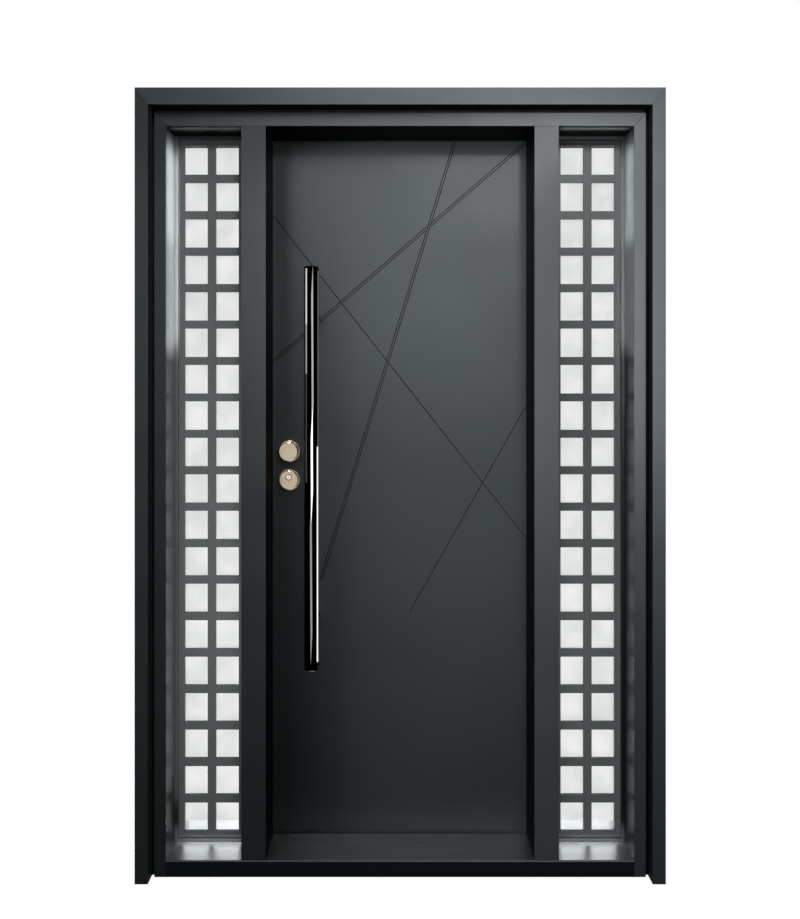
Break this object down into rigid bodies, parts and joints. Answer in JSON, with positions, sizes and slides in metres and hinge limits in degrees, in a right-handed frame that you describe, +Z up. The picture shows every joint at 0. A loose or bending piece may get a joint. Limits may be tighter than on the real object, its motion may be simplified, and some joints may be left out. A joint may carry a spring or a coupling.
{
  "type": "door with sidelights",
  "caption": "Steel entrance door with a long pull bar, set deep between narrow lattice-glazed sidelights in a mitred frame with a proud casing.",
  "frame": {"origin": "middle of the sill's underside, halfway through the frame's depth", "axes": "+X to the right seen from outside, +Y from the outside face towards the room, +Z up"},
  "size_m": [1.5, 0.3505, 2.25],
  "materials": {
    "frame_paint": "semi-gloss anthracite powder coat",
    "casing_paint": "satin anthracite powder coat",
    "lattice_paint": "satin grey powder coat",
    "leaf_paint": "satin anthracite powder coat",
    "glass": "clear, polished",
    "seal_rubber": "matt black",
    "handle_black": "gloss black",
    "champagne_metal": "satin champagne nickel",
    "bright_steel": "zinc plated",
    "hinge_steel": "satin anthracite powder coat",
    "satin_nickel": "satin nickel"
  },
  "bodies": {
    "frame": {"jamb_left": "frame_paint", "jamb_right": "frame_paint", "frame_head": "frame_paint", "threshold": "frame_paint", "mullion_left": "frame_paint", "mullion_right": "frame_paint", "architrave_left": "casing_paint", "architrave_right": "casing_paint", "architrave_head": "casing_paint", "door_seal": "seal_rubber", "strike_plate": "bright_steel", "sidelight_bead_left": "frame_paint", "sidelight_lattice_left": "lattice_paint", "sidelight_glass_left": "glass", "sidelight_rear_bead_left": "frame_paint", "sidelight_bead_right": "frame_paint", "sidelight_lattice_right": "lattice_paint", "sidelight_glass_right": "glass", "sidelight_rear_bead_right": "frame_paint", "hinge_frame_half_low": "hinge_steel", "hinge_frame_half_middle": "hinge_steel", "hinge_frame_half_high": "hinge_steel", "hinge_pin_low": "bright_steel", "hinge_pin_middle": "bright_steel", "hinge_pin_high": "bright_steel"},
    "door_leaf": {"leaf_core": "leaf_paint", "leaf_outer_panel": "leaf_paint", "leaf_inner_panel": "leaf_paint", "lock_faceplate": "bright_steel", "lock_bolts": "bright_steel", "pull_handle_bar": "handle_black", "pull_handle_posts": "handle_black", "escutcheon_upper": "champagne_metal", "escutcheon_lower": "champagne_metal", "inner_rosettes": "satin_nickel", "inner_lever": "satin_nickel", "inner_thumbturn": "satin_nickel", "hinge_leaf_half_low": "hinge_steel", "hinge_leaf_half_middle": "hinge_steel", "hinge_leaf_half_high": "hinge_steel"},
    "key_barrel": {"key_plug": "champagne_metal"}
  },
  "joints": [
    {"name": "door_swing", "type": "hinge", "parent": "frame", "child": "door_leaf", "pos_m": [0.4025, 0.1395, 0], "axis": [0, 0, -1], "range_deg": [0, 105]},
    {"name": "key_turn", "type": "hinge", "parent": "door_leaf", "child": "key_barrel", "pos_m": [-0.336, 0.0345, 1.1305], "axis": [0, -1, 0], "continuous": true}
  ]
}
